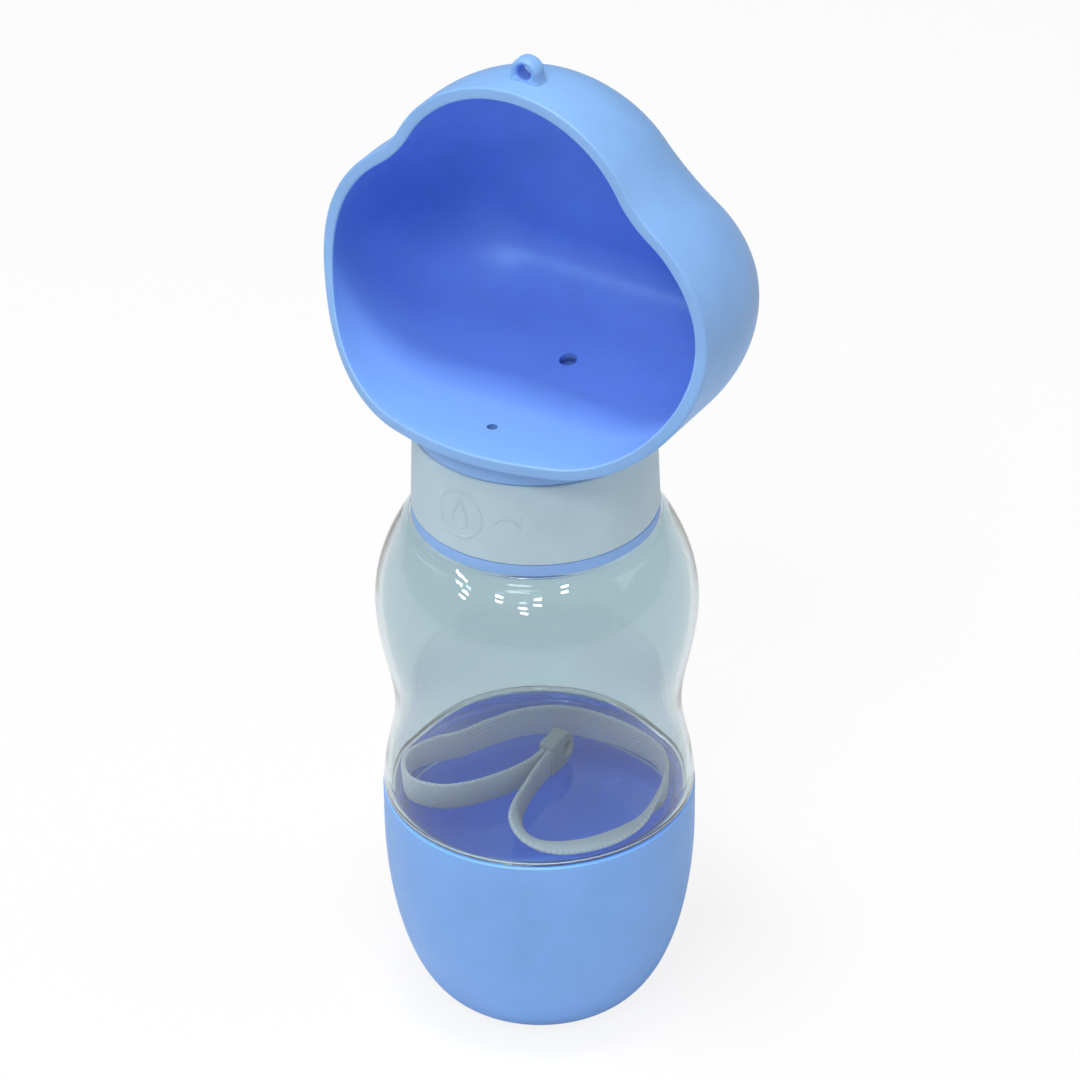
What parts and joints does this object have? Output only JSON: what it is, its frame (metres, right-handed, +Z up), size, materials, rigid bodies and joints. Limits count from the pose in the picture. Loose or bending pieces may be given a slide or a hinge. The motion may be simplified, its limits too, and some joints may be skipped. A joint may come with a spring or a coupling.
{
  "type": "dog travel water bottle",
  "caption": "Clear hourglass travel bottle for dogs, with a cloud-shaped drinking bowl turning in a screw collar on top and a rounded food cup screwed on below.",
  "frame": {"origin": "middle of the food cup's base, on the surface the bottle stands on", "axes": "+Z up the bottle's axis, -Y the way the drinking bowl opens, +X to the right seen from the front"},
  "size_m": [0.0976, 0.0745, 0.2433],
  "materials": {
    "cup_blue": "moulded, smooth with a soft sheen",
    "bowl_blue": "moulded, smooth with a soft sheen",
    "clear_plastic": "clear, faintly green-blue, polished",
    "collar_white": "satin white",
    "silicone": "matte silicone",
    "blue_silicone": "matte silicone",
    "webbing": "flat woven webbing",
    "clasp_grey": "moulded, fine texture"
  },
  "bodies": {
    "food_cup": {"food_cup": "cup_blue"},
    "cup_seal": {"cup_seal": "silicone"},
    "bottle": {"bottle": "clear_plastic", "carry_strap": "webbing", "strap_clasp": "clasp_grey"},
    "mouth_gasket": {"mouth_gasket": "silicone"},
    "neck_gasket": {"neck_gasket": "blue_silicone"},
    "collar": {"collar": "collar_white", "valve_seat": "collar_white"},
    "bowl": {"drinking_bowl": "bowl_blue", "retaining_ring": "collar_white", "port_pad": "silicone", "barrel_o_ring": "silicone"}
  },
  "joints": [
    {"name": "bottle_climb", "type": "slide", "parent": "food_cup", "child": "cup_seal", "axis": [0, 0, 1], "range_m": [0, 0.0091]},
    {"name": "bottle_unscrew", "type": "hinge", "parent": "cup_seal", "child": "bottle", "pos_m": [0, 0, 0.0558], "axis": [0, 0, 1], "range_deg": [0, 540]},
    {"name": "head_lift_off", "type": "slide", "parent": "bottle", "child": "mouth_gasket", "axis": [0, 0, 1], "range_m": [0, 0.05]},
    {"name": "collar_climb", "type": "slide", "parent": "mouth_gasket", "child": "neck_gasket", "axis": [0, 0, 1], "range_m": [0, 0.0091]},
    {"name": "collar_unscrew", "type": "hinge", "parent": "neck_gasket", "child": "collar", "pos_m": [0, 0, 0.132], "axis": [0, 0, 1], "range_deg": [0, 720]},
    {"name": "bowl_turn", "type": "hinge", "parent": "collar", "child": "bowl", "pos_m": [0, 0, 0.152], "axis": [0, 0, 1], "range_deg": [-90, 0]}
  ],
  "couplings": [
    {"joint": "bottle_climb", "follows": "bottle_unscrew", "m_per_rad": 0.00095493},
    {"joint": "collar_climb", "follows": "collar_unscrew", "m_per_rad": 0.0007162}
  ]
}
